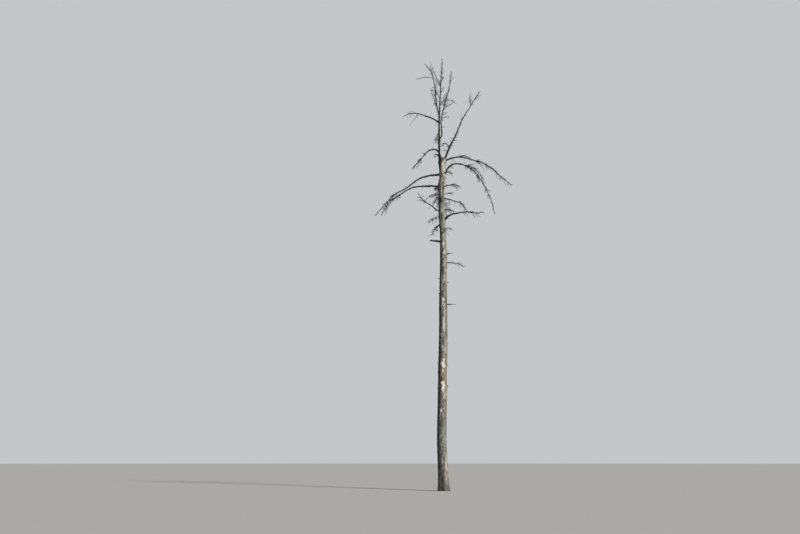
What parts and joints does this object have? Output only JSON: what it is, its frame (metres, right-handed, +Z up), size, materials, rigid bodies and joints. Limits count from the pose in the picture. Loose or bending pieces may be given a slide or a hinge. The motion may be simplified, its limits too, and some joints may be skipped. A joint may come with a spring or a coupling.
{
  "type": "dead tree",
  "caption": "Tall dead standing conifer with a bare leaning trunk, a broken forked top with upright leaders, and arching bare boughs that end in fine twigs.",
  "frame": {"origin": "middle of the flat cut under the trunk, at ground level", "axes": "+Z up the trunk, +X to the right as seen in the picture, +Y away from the viewer"},
  "size_m": [6.8518, 5.4909, 22.0299],
  "materials": {
    "trunk_wood": "weathered pale wood with patches of flaking brown bark",
    "bough_wood": "weathered dark grey-brown wood and bark",
    "bare_twigs": "dry dark grey-brown twigs"
  },
  "bodies": {
    "root": {"trunk": "trunk_wood", "main_leader": "bough_wood", "right_leader": "bough_wood", "left_leader": "bough_wood", "rising_bough": "bough_wood", "left_upper": "bough_wood", "left_collar": "bough_wood", "left_long": "bough_wood", "left_second": "bough_wood", "left_rising": "bough_wood", "right_long": "bough_wood", "right_second": "bough_wood", "right_level": "bough_wood", "right_middle": "bough_wood", "right_short": "bough_wood", "right_low": "bough_wood", "back_upper": "bough_wood", "front_upper": "bough_wood", "back_long": "bough_wood", "front_long": "bough_wood", "back_second": "bough_wood", "front_second": "bough_wood", "back_low": "bough_wood", "front_low": "bough_wood", "left_stub": "bough_wood", "left_hooked_stub": "bough_wood", "left_low_stub": "bough_wood", "right_stub": "bough_wood", "right_low_stub": "bough_wood", "main_leader_twigs": "bare_twigs", "right_leader_twigs": "bare_twigs", "left_leader_twigs": "bare_twigs", "rising_bough_twigs": "bare_twigs", "left_upper_twigs": "bare_twigs", "left_collar_twigs": "bare_twigs", "left_long_twigs": "bare_twigs", "left_second_twigs": "bare_twigs", "left_rising_twigs": "bare_twigs", "right_long_twigs": "bare_twigs", "right_second_twigs": "bare_twigs", "right_level_twigs": "bare_twigs", "right_middle_twigs": "bare_twigs", "right_short_twigs": "bare_twigs", "right_low_twigs": "bare_twigs", "back_upper_twigs": "bare_twigs", "front_upper_twigs": "bare_twigs", "back_long_twigs": "bare_twigs", "front_long_twigs": "bare_twigs", "back_second_twigs": "bare_twigs", "front_second_twigs": "bare_twigs", "back_low_twigs": "bare_twigs", "front_low_twigs": "bare_twigs", "right_tuft_twigs": "bare_twigs", "right_middle_tuft_twigs": "bare_twigs", "right_curled_tuft_twigs": "bare_twigs", "left_tuft_twigs": "bare_twigs", "left_collar_tuft_twigs": "bare_twigs", "left_low_tuft_twigs": "bare_twigs"}
  },
  "joints": []
}
